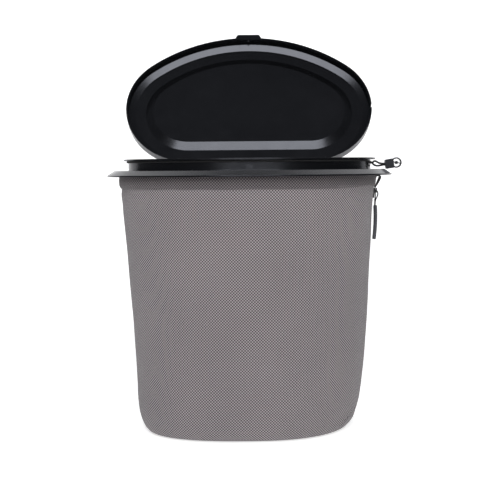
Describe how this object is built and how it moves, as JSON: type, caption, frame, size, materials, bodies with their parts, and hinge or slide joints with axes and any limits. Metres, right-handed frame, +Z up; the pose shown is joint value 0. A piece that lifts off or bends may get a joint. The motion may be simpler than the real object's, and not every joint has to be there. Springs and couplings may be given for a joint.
{
  "type": "hanging waste bin",
  "caption": "D-shaped hanging waste bin: ring frame with a hinged lid that leans back, zipped fabric sleeve and an elastic cord with a cord lock round the neck.",
  "frame": {"origin": "centre of the sleeve's underside, on the line of the bin's greatest width", "axes": "+X to the bin's zip side, +Y to the hinge and the back, +Z up"},
  "size_m": [0.3006, 0.258, 0.4199],
  "materials": {
    "moulded_black": "satin black injection moulding",
    "pin_steel": "plain steel",
    "ring_plastic": "matt dark plastic",
    "elastic_cord": "braided black elastic",
    "lock_plastic": "fine satin black",
    "sleeve_fabric": "warm grey basket weave",
    "seam_binding": "woven binding tape",
    "zip_tape": "fine woven tape",
    "zip_coil": "nylon coil",
    "slider_metal": "black painted die casting",
    "grip_rubber": "matt dark grey"
  },
  "bodies": {
    "bin": {"ring_frame": "moulded_black", "hinge_pin_left": "pin_steel", "hinge_pin_right": "pin_steel", "retaining_ring": "ring_plastic", "neck_elastic": "elastic_cord", "elastic_loop": "elastic_cord", "lock_body": "lock_plastic", "sleeve_front": "sleeve_fabric", "sleeve_back": "sleeve_fabric", "sleeve_base": "sleeve_fabric", "hem_band": "sleeve_fabric", "side_seam": "seam_binding", "zip_tape_front": "zip_tape", "zip_tape_back": "zip_tape", "zip_teeth_front": "zip_coil", "zip_teeth_back": "zip_coil", "zip_end_tab": "zip_tape", "zip_bottom_stop": "pin_steel"},
    "lid": {"lid": "moulded_black"},
    "zip_slider": {"slider_body": "slider_metal", "slider_bail": "slider_metal"},
    "zip_pull": {"pull_cord": "elastic_cord", "pull_grip": "grip_rubber"},
    "lock_button": {"lock_plunger": "lock_plastic"}
  },
  "joints": [
    {"name": "lid_hinge", "type": "hinge", "parent": "bin", "child": "lid", "pos_m": [0, 0.071, 0.2698], "axis": [1, 0, 0], "range_deg": [0, 119.2]},
    {"name": "zip_slide", "type": "slide", "parent": "bin", "child": "zip_slider", "axis": [-0.0712, 0, -0.9975], "range_m": [0, 0.178]},
    {"name": "pull_swing", "type": "hinge", "parent": "zip_slider", "child": "zip_pull", "pos_m": [0.12871, 0, 0.24258], "axis": [0, -1, 0], "range_deg": [0, 115]},
    {"name": "lock_press", "type": "slide", "parent": "bin", "child": "lock_button", "axis": [-0.9877, 0, -0.1564], "range_m": [0, 0.0014], "stiffness_N_per_m": 400, "springref_m": -0.001}
  ]
}
